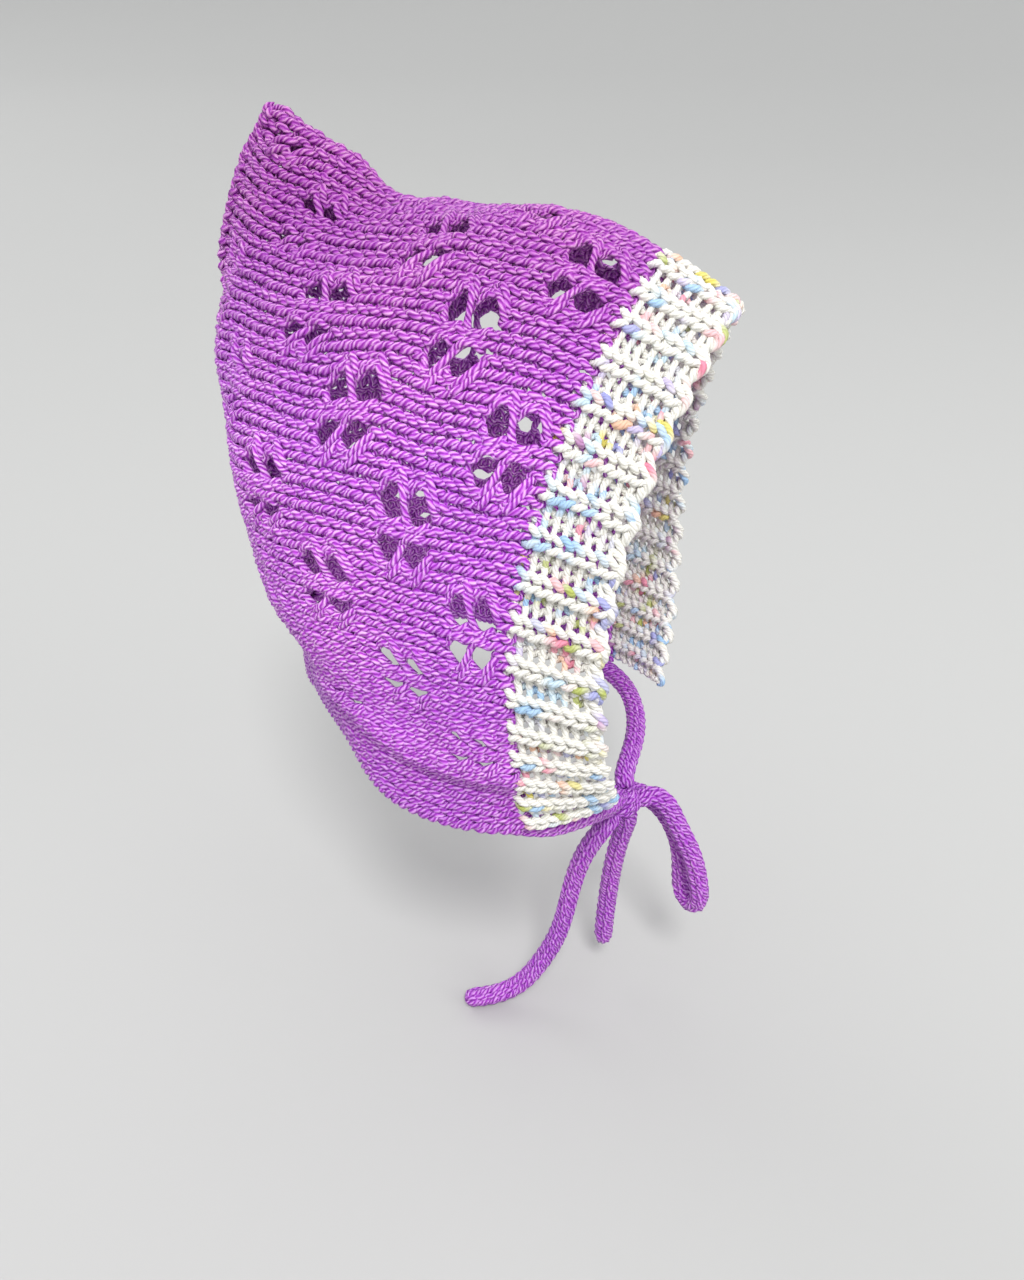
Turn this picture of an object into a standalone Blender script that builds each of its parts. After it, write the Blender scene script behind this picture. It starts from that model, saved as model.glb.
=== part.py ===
"""Knitted pixie bonnet: lace hood with a folded peak, ribbed brim, neckband, and I-cord ties in a half bow.

Metres, +Z up, face opening towards -Y, wearer's right at -X. The origin is where a head bears inside the crown.
Lengths below are in millimetres, measured from the middle of the head, until place() turns them into metres.
"""

import functools
import math

import bpy
import numpy as np
from mathutils.geometry import delaunay_2d_cdt

# Gauge of the knit
HOOD_STITCHES = 63       # from one neck edge over the top to the other
BRIM_STITCHES = 67       # round the face edge, 1x1 rib
BRIM_ROWS = 8
ROWS = 36                # of the hood, from the brim to the back seam
ROW = 3.45               # height of one row

# Walls
HOOD_WALL = 3.6
BRIM_WALL = 3.4
RIB_RISE = 0.7           # how far a knit rib stands proud, and a purl rib sinks
NECK_WALL = 3.8
NECK_HEIGHT = 16.0
GAP = 0.4                # between neighbouring pieces
SEAM_HALF = 1.9          # the two layers lie this far either side of the seam
SEAM_SPREAD = 9.0        # the layers reach that distance this far down from the peak
SEAM_RISE = 0.7          # how far the seam stands proud along its ridge
FOLD_HALF = (1.0, 0.5)   # the least distance of the outer and the inner face from the middle plane

# Ties
CORD = 6.6               # diameter of the I-cord
CORD_STEP = 6.6          # from one ring of its outline to the next
LOOP_STEP = 3.3          # the same in the bow's loop, which bends tightly
KNOT_AT = (-4.3, -38.0, -94.1)
KNOT_HALF = 5.7
KNOT_WAIST = (0.10, 0.22)  # depth of the groove round the knot against its radius, and half its width in radians

# Where a head bears inside the crown, and a point well inside the hood that its walls face away from
SEAT = (0.0, 4.0, 74.0)
INSIDE = (0.0, 8.0, 0.0)

# The fabric's middle surface. Each station is one row of stitches: a curve from the top fold, round the widest point
# of the side, to the neck edge. v runs from the face edge through the brim's back edge (0) to the back seam (1).
# crown shapes the top, where 1 is an ellipse and more a sharper fold, and back shapes its profile from the side.
COLUMNS = ("v", "top_y", "top_z", "side_x", "side_y", "side_z", "low_x", "low_y", "low_z", "crown", "back")
STATIONS = np.array((
    (-0.22, -60.0, 54.5, 53.5, -42.0, -32.0, 34.0, -40.5, -72.5, 1.35, 2.0),
    (0.00, -36.5, 68.0, 57.5, -16.0, -27.0, 51.0, -18.5, -74.5, 1.35, 2.0),
    (0.25, -9.0, 77.0, 56.0, 11.5, -17.0, 55.0, 14.5, -70.0, 1.00, 2.0),
    (0.50, 17.5, 77.5, 51.5, 43.5, -2.5, 43.0, 34.0, -61.5, 1.10, 2.0),
    (0.75, 41.5, 84.5, 31.5, 69.0, 19.5, 24.5, 53.0, -59.5, 1.30, 2.0),
    (1.00, 65.0, 101.0, 0.0, 83.5, 60.0, 0.0, 70.0, -60.5, 1.20, 1.3),
))

# Where a stitch lies along its row, against the length from the top fold to the hood's neck edge. The knit is
# stretched over the sides of the head and gathers towards the neck.
SPREAD_COLUMNS = ("stitch", "at the brim", "further back")
SPREAD = np.array((
    (0.0, 0.000, 0.000),
    (8.0, 0.273, 0.298),
    (16.0, 0.567, 0.597),
    (24.0, 0.839, 0.850),
    (31.5, 1.000, 1.000),
))
SETTLES_AT = 0.25        # the v from which the last column holds

# The same for a stitch of the brim, whose rows end at its neck edge, and how many rows its face edge is drawn back
BRIM_COLUMNS = ("stitch", "share of the length", "rows drawn back")
BRIM_SPREAD = np.array((
    (0.0, 0.000, 0.65),
    (8.0, 0.247, 0.97),
    (16.0, 0.513, 0.85),
    (24.0, 0.759, 0.42),
    (28.0, 0.869, 0.20),
    (31.0, 0.942, 0.05),
    (33.5, 1.000, 0.00),
))

# The crease round the nape, between the hood and the neckband: its depth, how many stitches above and below it
# the walls start to draw in, and the rows between which it grows from nothing
CREASE = 5.0
CREASE_ABOVE, CREASE_BELOW = 8.5, 2.6
CREASE_ROWS = (11, 23)
NECK_STITCHES = 4        # height of the neckband

# Lace: pairs of eyelets either side of one stitch, on two rows of every band. Bands alternate, half a repeat apart.
REPEAT = 8               # stitches from one motif to the next
BANDS = (                # first row, half-repeat shift, size of the eyelets against the full size
    dict(row=2, shifted=True, size=1.00),
    dict(row=8, shifted=False, size=1.00),
    dict(row=14, shifted=True, size=0.92),
    dict(row=20, shifted=False, size=0.66),
)
EYELET = (0.94, 1.30)    # full size, in stitches along the row and in rows
LOW_SIDE = 0.82          # size of the eyelet further from the top fold against the other of its pair
EYELET_SIDES = 6
EDGE_STITCHES = 1.6      # no eyelet lies closer to the neck edge than this

# Paths of the cords, in millimetres from the middle of the head
PATHS = {
    "strap_right": ((-48.6, -13.4, -76.6), (-46.4, -20.0, -77.5), (-43.0, -25.2, -78.8), (-38.0, -29.5, -79.8),
                    (-31.0, -33.6, -81.5), (-23.0, -35.8, -84.8), (-15.5, -37.0, -87.8), (-9.5, -37.7, -90.2)),
    "strap_left": ((48.6, -13.4, -76.6), (46.4, -20.0, -77.5), (43.0, -25.2, -78.8), (37.6, -29.8, -79.8),
                   (29.6, -34.0, -81.6), (20.5, -36.4, -83.4), (10.5, -37.2, -85.2), (0.1, -37.3, -89.0)),
    "bow_loop": ((-1.4, -43.8, -94.1), (0.1, -46.6, -93.7), (0.5, -49.8, -94.9), (0.5, -52.9, -98.8),
                 (0.0, -56.0, -104.4), (-0.4, -59.8, -111.4), (-0.5, -62.8, -120.0), (-0.4, -64.2, -127.0),
                 (-0.1, -64.4, -130.9), (0.7, -63.4, -134.1), (2.8, -61.0, -135.4), (4.9, -58.6, -134.1),
                 (5.8, -57.6, -130.9), (6.0, -57.0, -124.5), (6.2, -56.0, -117.4), (6.8, -53.4, -110.2),
                 (7.6, -49.4, -104.4), (7.8, -44.6, -100.6), (6.2, -40.0, -98.0), (2.2, -37.7, -96.2)),
    "tail_long": ((-9.0, -35.7, -98.3), (-12.0, -32.0, -104.2), (-12.6, -27.4, -114.7), (-13.4, -24.1, -129.5),
                  (-14.4, -21.0, -145.2), (-16.6, -15.1, -159.3), (-20.2, -8.2, -168.2), (-24.1, -0.7, -171.2),
                  (-27.9, 7.5, -171.6)),
    "tail_short": ((-3.3, -39.6, -100.5), (-1.9, -38.9, -106.0), (-0.4, -37.2, -113.0), (0.6, -35.4, -123.8),
                   (1.4, -33.8, -140.4), (2.4, -32.9, -157.5), (2.8, -32.8, -161.1)),
}

# Colours, linear
PURPLE = (0.42, 0.10, 0.58)
WHITE = (0.86, 0.84, 0.78)

SAME = 1e-4              # two places along a row or column closer than this are one


def place(point):
    return [(a - b) / 1000 for a, b in zip(point, SEAT)]


def spline(knots, values, at):
    """Natural cubic spline through values at knots, one column for each dimension."""
    n, step = len(knots), np.diff(knots)
    left, right = np.eye(n), np.zeros_like(values)
    for i in range(1, n - 1):
        left[i, i - 1 : i + 2] = step[i - 1], 2 * (step[i - 1] + step[i]), step[i]
        right[i] = 6 * ((values[i + 1] - values[i]) / step[i] - (values[i] - values[i - 1]) / step[i - 1])
    bend = np.linalg.solve(left, right)
    i = int(np.clip(np.searchsorted(knots, at, side="right") - 1, 0, n - 2))
    h, b = step[i], at - knots[i]
    a = h - b
    return (
        (bend[i] * a**3 + bend[i + 1] * b**3) / (6 * h)
        + (values[i] / h - bend[i] * h / 6) * a
        + (values[i + 1] / h - bend[i + 1] * h / 6) * b
    )


def lengths(points):
    """The length along a line of points up to each of them."""
    return np.concatenate([[0], np.cumsum(np.linalg.norm(np.diff(points, axis=0), axis=1))])


@functools.lru_cache(maxsize=None)
def row_curve(v, fine=80):
    """Points of the row at v on the +X side, from the top fold to the neck edge, and the length up to each."""
    row = dict(zip(COLUMNS[1:], spline(STATIONS[:, 0], STATIONS[:, 1:], v)))
    t = np.linspace(0, 1, fine) ** 1.5 * math.pi / 2
    upper = np.stack(
        [
            row["side_x"] * np.sin(t) ** row["crown"],
            row["side_y"] + (row["top_y"] - row["side_y"]) * np.cos(t) ** row["back"],
            row["side_z"] + (row["top_z"] - row["side_z"]) * np.cos(t),
        ],
        axis=1,
    )
    t = t[1:]
    lower = np.stack(
        [
            row["side_x"] + (row["low_x"] - row["side_x"]) * np.sin(t) ** 2,
            row["side_y"] + (row["low_y"] - row["side_y"]) * np.sin(t) ** 2,
            row["side_z"] + (row["low_z"] - row["side_z"]) * np.sin(t),
        ],
        axis=1,
    )
    points = np.concatenate([upper, lower])
    return points, lengths(points)


def row_length(v):
    return row_curve(round(v, 6))[1][-1]


def on_row(v, across):
    """The middle surface at v, across millimetres from the top fold along the row; the sign gives the side."""
    points, length = row_curve(round(v, 6))
    found = np.array([np.interp(abs(across), length, points[:, k]) for k in range(3)])
    if v > 0:
        found[0] = max(found[0], SEAM_HALF * min(1.0, abs(across) / SEAM_SPREAD))
    return found * (math.copysign(1, across), 1, 1)


def spread(c, v):
    """How far along its row stitch c lies at v, against the length down to the hood's neck edge."""
    at_brim, at_back = spline(SPREAD[:, 0], SPREAD[:, 1:], abs(c))
    t = min(max(v / SETTLES_AT, 0), 1)
    return math.copysign(at_brim + (at_back - at_brim) * t, c)


def hood_point(c, r):
    """The hood's middle surface at stitch c (0 at the top fold) and row r."""
    v = r / ROWS
    return on_row(v, spread(c, v) * (row_length(v) - NECK_HEIGHT - GAP / 2))


def brim_point(c, r):
    share, back = spline(BRIM_SPREAD[:, 0], BRIM_SPREAD[:, 1:], abs(c))
    v = r / ROWS * (1 - back / BRIM_ROWS)
    return on_row(v, math.copysign(share, c) * row_length(v))


def blend_up(x, low, high):
    """0 below low, 1 above high, smooth between."""
    t = min(max((x - low) / (high - low), 0), 1)
    return t * t * (3 - 2 * t)


def drawn_in(past, r):
    """How far the walls are drawn in, past stitches beyond the hood's neck edge, at row r."""
    both = blend_up(past, -CREASE_ABOVE, 0) * blend_up(-past, -CREASE_BELOW, 0)
    return CREASE * both * blend_up(r, *CREASE_ROWS)


def neck_point(turn, down):
    """The neckband from the nape (0) to its front ends (-1 and 1), down millimetres below the hood's edge."""
    v = 1 - abs(turn)
    across = row_length(v) - NECK_HEIGHT + GAP / 2 + down
    return on_row(v, math.copysign(across, turn))


def unit(vector):
    return vector / np.linalg.norm(vector)


def normal_at(surface, a, b, limits, step=0.35):
    """Unit normal of surface(a, b), away from the inside of the hood."""
    (a0, a1), (b0, b1) = limits
    along = surface(min(a + step, a1), b) - surface(max(a - step, a0), b)
    back = surface(a, min(b + step, b1)) - surface(a, max(b - step, b0))
    n = unit(np.cross(along, back))
    return n if np.dot(n, surface(a, b) - np.array(INSIDE)) > 0 else -n


def mesh_object(name, points, faces):
    mesh = bpy.data.meshes.new(name)
    mesh.from_pydata([place(p) for p in points], [], faces)
    mesh.validate()
    for polygon in mesh.polygons:
        polygon.use_smooth = True
    obj = bpy.data.objects.new(name, mesh)
    bpy.context.scene.collection.objects.link(obj)
    return obj


def material(name, colour, roughness=0.6):
    made = bpy.data.materials.new(name)
    made.use_nodes = True
    shader = made.node_tree.nodes["Principled BSDF"]
    shader.inputs["Base Color"].default_value = (*colour, 1)
    shader.inputs["Roughness"].default_value = roughness
    return made


def eyelets():
    """(stitch, row, half width in stitches, half height in rows) of every eyelet that is cut through."""
    found = []
    for band in BANDS:
        shift = REPEAT // 2 if band["shifted"] else 0
        for k in range(-4, 5):
            middle = k * REPEAT + shift
            for side in (-1, 1):
                c = middle + side
                if abs(c) > HOOD_STITCHES / 2 - EDGE_STITCHES:
                    continue
                size = band["size"] * (1 if side * middle < 0 else LOW_SIDE)
                for r in (band["row"], band["row"] + 2):
                    found.append((c, r, EYELET[0] * size / 2, EYELET[1] * size / 2))
    return found


def in_eyelet(holes, c, r, margin=(0.0, 0.0)):
    return any(((c - x) / (wide + margin[0])) ** 2 + ((r - y) / (tall + margin[1])) ** 2 < 1
               for x, y, wide, tall in holes)


def hood_sheet(stitches, rows):
    """The hood laid flat in stitches and rows: its points, and triangles that leave the eyelets open."""
    holes = eyelets()
    half, last = stitches[-1], rows[-1]
    outline = [(c, rows[0]) for c in stitches]
    outline += [(half, r) for r in rows[1:]]
    outline += [(c, last) for c in reversed(stitches[:-1])]
    outline += [(-half, r) for r in reversed(rows[1:-1])]
    flat, loops = list(outline), [list(range(len(outline)))]
    for c, r, wide, tall in holes:
        loops.append(list(range(len(flat), len(flat) + EYELET_SIDES)))
        for k in range(EYELET_SIDES):
            turn = 2 * math.pi / EYELET_SIDES * k
            flat.append((c + wide * math.cos(turn), r + tall * math.sin(turn)))
    for r in rows[1:-1]:
        # the points of a row lie between its eyelets
        shifted = any(band["row"] - 1 <= r <= band["row"] + 3 and band["shifted"] for band in BANDS)
        for c in stitches[1:-1]:
            if not in_eyelet(holes, c, r, margin=(0.30, 0.25)) and not (shifted and abs(c) == 1):
                flat.append((float(c), float(r)))
    edges = [(loop[k], loop[(k + 1) % len(loop)]) for loop in loops for k in range(len(loop))]
    points, _, triangles, *_ = delaunay_2d_cdt(flat, edges, [], 0, 1e-5)
    flat = [tuple(p) for p in points]
    kept = []
    for triangle in triangles:
        c, r = (sum(flat[i][k] for i in triangle) / 3 for k in (0, 1))
        if not in_eyelet([(x, y, wide * 0.85, tall * 0.85) for x, y, wide, tall in holes], c, r):
            kept.append(tuple(triangle))
    return flat, kept


def hood_faces(flat, last):
    """The outer and the inner point for each flat point of the hood."""
    half = HOOD_STITCHES / 2
    limits = ((-half, half), (flat[0][1], last))
    settled = last - 1.2          # the seam's own row has no normal, so it takes that of the row before
    outer, inner = [], []
    for c, r in flat:
        middle = hood_point(c, r)
        n = normal_at(hood_point, c, min(r, settled), limits)
        side = 0 if abs(c) < SAME else math.copysign(1, c)
        on_seam = r > last - SAME
        if side == 0 or on_seam:
            n = unit(n * (0, 1, 1))
        middle = middle - n * drawn_in(abs(c) - half, r)
        out = middle + n * (HOOD_WALL / 2 + (SEAM_RISE if on_seam else 0))
        into = middle - n * HOOD_WALL / 2
        if side:
            out[0] = side * max(side * out[0], FOLD_HALF[0])
            into[0] = side * max(side * into[0] - (1 if on_seam else 0), FOLD_HALF[1])
        outer.append(out)
        inner.append(into)
    return outer, inner


def faces_out(points, triangle):
    """Whether the triangle's front looks away from the inside of the hood."""
    a, b, c = (points[i] for i in triangle)
    return np.cross(b - a, c - a) @ (a - np.array(INSIDE)) > 0


def make_hood():
    last = float(ROWS)
    half = HOOD_STITCHES / 2
    stitches = [-half] + list(range(-30, 0, 2)) + [-1, 0, 1] + list(range(2, 31, 2)) + [half]
    rows = [GAP / ROW] + list(range(1, ROWS, 2)) + [last]
    flat, kept = hood_sheet(stitches, rows)
    outer, inner = hood_faces(flat, last)
    if not faces_out(outer, kept[0]):
        kept = [(a, c, b) for a, b, c in kept]
    n = len(flat)
    faces = kept + [(a + n, c + n, b + n) for a, b, c in kept]
    # walls along every open edge, but not along the seam, where the two halves are joined instead
    used = {(t[k], t[(k + 1) % 3]) for t in kept for k in range(3)}
    for a, b in sorted(used):
        if (b, a) in used or min(flat[a][1], flat[b][1]) > last - SAME:
            continue
        faces.append((b, a, a + n))
        faces.append((b, a + n, b + n))
    index = {(round(c, 4), round(r, 4)): i for i, (c, r) in enumerate(flat)}
    right = [index[(c, last)] for c in stitches if c >= 0]
    left = [index[(-c, last)] for c in stitches if c >= 0]
    joined = []
    for a, b, c, d in zip(right, right[1:], left[1:], left):
        joined.append((a, b, c) if a == d else (a, b, c, d))
    a, b, c = joined[1][:3]
    outward = np.cross(outer[b] - outer[a], outer[c] - outer[a])[1] > 0
    for face in joined:
        within = tuple(i + n for i in face)
        faces.append(face if outward else face[::-1])
        faces.append(within[::-1] if outward else within)
    # the neck edge of the seam
    points = outer + inner
    end = (right[-1], left[-1], left[-1] + n, right[-1] + n)
    down = np.cross(points[end[1]] - points[end[0]], points[end[2]] - points[end[0]])[2] < 0
    faces.append(end if down else end[::-1])
    return mesh_object("hood", points, faces)


def strip(name, outer, inner):
    """A closed wall between two grids of points, [row][column]."""
    rows, cols = len(outer), len(outer[0])
    points = [p for row in outer for p in row] + [p for row in inner for p in row]
    n = rows * cols

    def at(i, j, within=False):
        return i * cols + j + (n if within else 0)

    faces = []
    for i in range(rows - 1):
        for j in range(cols - 1):
            faces.append((at(i, j), at(i, j + 1), at(i + 1, j + 1), at(i + 1, j)))
            faces.append((at(i + 1, j, True), at(i + 1, j + 1, True), at(i, j + 1, True), at(i, j, True)))
    for j in range(cols - 1):
        faces.append((at(0, j + 1), at(0, j), at(0, j, True), at(0, j + 1, True)))
        faces.append((at(rows - 1, j), at(rows - 1, j + 1), at(rows - 1, j + 1, True), at(rows - 1, j, True)))
    for i in range(rows - 1):
        faces.append((at(i, 0), at(i + 1, 0), at(i + 1, 0, True), at(i, 0, True)))
        faces.append((at(i + 1, cols - 1), at(i, cols - 1), at(i, cols - 1, True), at(i + 1, cols - 1, True)))
    if not faces_out(points, (at(0, cols // 4), at(0, cols // 4 + 1), at(1, cols // 4))):
        faces = [face[::-1] for face in faces]
    return mesh_object(name, points, faces)


def make_brim():
    half = BRIM_STITCHES / 2
    first, last = STATIONS[0][0] * ROWS, -GAP / ROW
    limits = ((-half, half), (first, last))
    outer, inner = [], []
    for r in np.linspace(first, last, 4):
        out, into = [], []
        for c in np.linspace(-half, half, BRIM_STITCHES * 2 + 1):
            middle = brim_point(c, r)
            n = normal_at(brim_point, c, r, limits)
            rise = -RIB_RISE * math.cos(math.pi * c)
            out.append(middle + n * (BRIM_WALL / 2 + rise))
            into.append(middle - n * (BRIM_WALL / 2 - rise))
        outer.append(out)
        inner.append(into)
    return strip("brim", outer, inner)


def make_neckband(columns=18, nape=0.05, step=0.02):
    """From one front end round the nape to the other; its lower edge rolls in a little."""
    deep = NECK_HEIGHT - GAP / 2
    end = 1 - GAP / ROW / ROWS
    turns = [*np.linspace(-end, -nape, columns), 0.0, *np.linspace(nape, end, columns)]
    profile = ((0.0, 0.9), (0.30, 1.0), (0.62, 1.05), (0.88, 1.0), (1.0, 0.66))   # depth, thickness
    low = np.array((0, 10, -60))      # a point inside, at the height of the neck
    outer, inner = [], []
    for depth, thick in profile:
        down = depth * deep
        lowest, highest = min(down + 1, deep), max(down - 1, 0)
        out, into = [], []
        for turn in turns:
            side = math.copysign(1, turn)
            near, far = max(abs(turn) - step, SAME), min(abs(turn) + step, end)
            middle = neck_point(turn, down)
            below = neck_point(turn, lowest) - neck_point(turn, highest)
            n = unit(np.cross(neck_point(side * far, down) - neck_point(side * near, down), below))
            if turn == 0:
                middle[0] = 0
                n = unit(np.array((0, -below[2], below[1])))
            n = n if n @ (middle - low) > 0 else -n
            middle = middle - n * drawn_in(depth * NECK_STITCHES, (1 - abs(turn)) * ROWS)
            wall = NECK_WALL / 2 * thick
            out.append(middle + n * wall)
            into.append(middle - n * wall)
            if turn:
                into[-1][0] = side * max(side * into[-1][0], 0.3)
        outer.append(out)
        inner.append(into)
    return strip("neckband", outer, inner)


def evenly(path, step):
    """Points about step apart along a smooth curve through the path."""
    path = np.array(path)
    knots = lengths(path)
    fine = np.array([spline(knots, path, at) for at in np.linspace(0, knots[-1], 40 * len(path))])
    length = lengths(fine)
    wanted = np.linspace(0, length[-1], round(length[-1] / step) + 1)
    return np.stack([np.interp(wanted, length, fine[:, k]) for k in range(3)], axis=1)


def make_cord(name, path, step):
    curve = bpy.data.curves.new(name, "CURVE")
    curve.dimensions = "3D"
    curve.bevel_depth = CORD / 2 / 1000
    curve.bevel_resolution = 2
    curve.use_fill_caps = True
    line = curve.splines.new("POLY")
    points = evenly(path, step)
    line.points.add(len(points) - 1)
    for held, point in zip(line.points, points):
        held.co = (*place(point), 1)
    obj = bpy.data.objects.new(name, curve)
    bpy.context.scene.collection.objects.link(obj)
    return obj


def make_knot(around=20, along=10):
    """A rounded lump with the groove of the turn that holds the bow."""
    middle = np.array(KNOT_AT)
    points = []
    for i in range(1, along):
        lift = math.pi * i / along
        groove = 1 - KNOT_WAIST[0] * math.exp(-(((lift - math.pi / 2) / KNOT_WAIST[1]) ** 2))
        for j in range(around):
            turn = 2 * math.pi * j / around
            radius = groove * math.sin(lift)
            points.append(middle + KNOT_HALF * np.array((radius * math.cos(turn), radius * math.sin(turn), math.cos(lift))))
    top, bottom = len(points), len(points) + 1
    points += [middle + (0, 0, KNOT_HALF), middle - (0, 0, KNOT_HALF)]
    lowest = (along - 2) * around
    faces = []
    for j in range(around):
        k = (j + 1) % around
        faces.append((top, j, k))
        for i in range(0, lowest, around):
            faces.append((i + j, i + around + j, i + around + k, i + k))
        faces.append((bottom, lowest + k, lowest + j))
    return mesh_object("bow_knot", points, faces)


def main():
    for obj in list(bpy.data.objects):
        bpy.data.objects.remove(obj, do_unlink=True)
    purple = material("purple_yarn", PURPLE)
    white = material("speckled_yarn", WHITE)
    hood, brim, neckband, knot = make_hood(), make_brim(), make_neckband(), make_knot()
    cords = [make_cord(name, path, LOOP_STEP if name == "bow_loop" else CORD_STEP) for name, path in PATHS.items()]
    for obj in [hood, neckband, knot, *cords]:
        obj.data.materials.append(purple)
    brim.data.materials.append(white)


main()
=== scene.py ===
"""Looks of the knitted pixie hat: a length of plied yarn for each row of stitches, and I-cord ties."""

import math

import bpy
import numpy as np
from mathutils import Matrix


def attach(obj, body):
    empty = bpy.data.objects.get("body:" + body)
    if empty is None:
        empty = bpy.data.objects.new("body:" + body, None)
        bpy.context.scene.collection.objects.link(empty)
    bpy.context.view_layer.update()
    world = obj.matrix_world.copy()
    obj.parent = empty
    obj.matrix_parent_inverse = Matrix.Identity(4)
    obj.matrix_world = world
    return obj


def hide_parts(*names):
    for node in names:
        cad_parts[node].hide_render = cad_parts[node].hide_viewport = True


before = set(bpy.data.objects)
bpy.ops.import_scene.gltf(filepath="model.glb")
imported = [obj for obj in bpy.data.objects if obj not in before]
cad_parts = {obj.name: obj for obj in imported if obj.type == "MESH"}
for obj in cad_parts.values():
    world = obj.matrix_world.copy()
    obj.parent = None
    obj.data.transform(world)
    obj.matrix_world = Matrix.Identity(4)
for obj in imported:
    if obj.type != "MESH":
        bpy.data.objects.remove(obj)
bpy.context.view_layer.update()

MM = 0.001
TURN = 2 * math.pi

# The fabric's shape, in millimetres from the middle of the head
SEAT = np.array((0.0, 4.0, 74.0))  # the origin
INSIDE = np.array((0.0, 8.0, 0.0))  # outward at the back is away from here
HOOD_STITCHES = 63  # from one neck edge over the top to the other
BRIM_STITCHES = 67  # round the face edge, 1x1 rib
BRIM_ROWS = 8
ROWS = 36  # of the hood, from the brim to the back seam
NECK_HEIGHT = 16.0
GAP = 0.4  # between the hood and the neckband
SEAM_HALF = 0.8  # each side keeps at least this far from the middle,
SEAM_SPREAD = 9.0  # from this far below the top fold
COLUMNS = ("v", "top_y", "top_z", "side_x", "side_y", "side_z", "low_x", "low_y", "low_z", "crown", "back")
STATIONS = np.array((
    (-0.22, -60.0, 54.5, 53.5, -42.0, -32.0, 34.0, -40.5, -72.5, 1.35, 2.0),
    (0.00, -36.5, 68.0, 57.5, -16.0, -27.0, 51.0, -18.5, -74.5, 1.35, 2.0),
    (0.25, -9.0, 77.0, 56.0, 11.5, -17.0, 55.0, 14.5, -70.0, 1.00, 2.0),
    (0.50, 17.5, 77.5, 51.5, 43.5, -2.5, 43.0, 34.0, -61.5, 1.10, 2.0),
    (0.75, 41.5, 84.5, 31.5, 69.0, 19.5, 24.5, 53.0, -59.5, 1.30, 2.0),
    (1.00, 65.0, 101.0, 0.0, 83.5, 60.0, 0.0, 70.0, -60.5, 1.20, 1.3),
))
FIRST_V = -0.26  # the surface goes on a little beyond the brim's edge

# The rounded back: its bulge, the v where that begins and the v it takes, and where it is full below the fold
BULGE = 2.3
BULGE_FROM, BULGE_OVER = 0.80, 0.20
BULGE_BELOW = 7.0

# The back below the peak stands out, then draws in again: by how much, and how far from the fold each grows
STANDS_OUT, STANDS_OUT_FROM = 2.2, (4, 20)
DRAWS_IN, DRAWS_IN_FROM = 1.2, (38, 62)
BEHIND = (0.88, 1.0)  # the v over which both grow

# The peak's blunt tip: the middle and radius of its rounding, how steeply up from there it holds, and the
# share that is left of what reaches beyond it
TIP = np.array((0.0, 64.4, 93.2))
TIP_RADIUS = 5.8
TIP_STEEP = 0.70
TIP_LEFT = 0.12

# The grid's rows and columns, the points of each part of a row's line and how they crowd where it starts,
# and the share of the rows from which the normals stay the same
GRID = (260, 300)
ROW_POINTS, CROWDED = 240, 1.5
NORMALS_SETTLE = 0.985

# A stitch, and its share of the way from the top fold to the hood's neck edge, at the brim and further back
SPREAD = np.array((
    (0.0, 0.000, 0.000),
    (8.0, 0.273, 0.298),
    (16.0, 0.567, 0.597),
    (24.0, 0.839, 0.850),
    (31.5, 1.000, 1.000),
))
SETTLES_AT = 0.25  # the v from which the last column holds

# The same for the brim, down to its own lower edge, and how many rows its face edge is drawn back
BRIM_SPREAD = np.array((
    (0.0, 0.000, 0.65),
    (8.0, 0.247, 0.97),
    (16.0, 0.513, 0.85),
    (24.0, 0.759, 0.42),
    (28.0, 0.869, 0.20),
    (31.0, 0.942, 0.05),
    (33.5, 1.000, 0.00),
))

# The nape's crease between hood and neckband: its depth, how many stitches above and below the walls start
# to draw in, and the rows between which it grows from nothing
CREASE = 5.0
CREASE_ABOVE, CREASE_BELOW = 8.5, 2.6
CREASE_ROWS = (11, 23)

# Near its neck edge the hood rises, and dips at the edge: the millimetres, the share of them, and the
# stitches past the edge between which each grows
EDGE_RISE, EDGE_RISE_FROM = 1.7, (-3.5, -1.3)
EDGE_DIP, EDGE_DIP_FROM = 0.75, (-0.9, 0)

# The cloth lies calm at the brim and wanders in full from the second of these rows, less where it rises
CALM_ROWS = (-1, 3)
EDGE_CALM = 0.6

# Yarn
YARN = 0.89  # radius of the hood's yarn
BRIM_YARN = 0.94
ICORD_YARN = 0.95
STEPS = 14  # points along each stitch
SIDES = 6  # sides of the yarn

# Where a length of yarn begins on its map, so that neighbours differ: the place of number 0, and the step
STARTS = {
    "row": (0.0, 700.0),
    "cast_on": (9000.0, 800.0),
    "seam_strand": (30000.0, 900.0),
    "overcast": (33000.0, 0.0),
    "seam_edge": (36000.0, 1500.0),
    "neck_row": (40000.0, 3000.0),
    "neck_edge": (50000.0, 2000.0),
    "knot": (90000.0, 0.0),
}
NECK_ROW_STEP = 60.0  # and to the next row on the same side of the neckband
NECK_STRAND_STEP = 800.0

# The loop of one stitch: height in rows, overlap in stitches, and depth in millimetres
HOOD_LOOP = (0.92, 0.215, 0.72)
BRIM_LOOP = (0.84, 0.225, 0.66)
NECK_LOOP = (0.92, 0.215, 0.66)
LAST_ROW = ROWS + 0.15  # no loop reaches past this at the back

# The yarn's radius against the usual: where it passes behind, what the legs add, and how it varies
THIN, PLUMPER, PLUMP_WAVER = 0.92, 0.14, 0.05

# How strongly stitches differ: in width, in how a head leans and rises, and in their legs or their height
HOOD_UNEVEN = (0.07, 0.030, 0.05, 0.12)
BRIM_UNEVEN = (0.07, 0.04, 0.07, 0.05)
NECK_UNEVEN = (0.06, 0.04, 0.05)
HOOD_WAVER, HOOD_WAVER_OUT, BRIM_WAVER = 0.02, 0.08, 0.03  # and whole rows, up and out of the cloth

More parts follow.
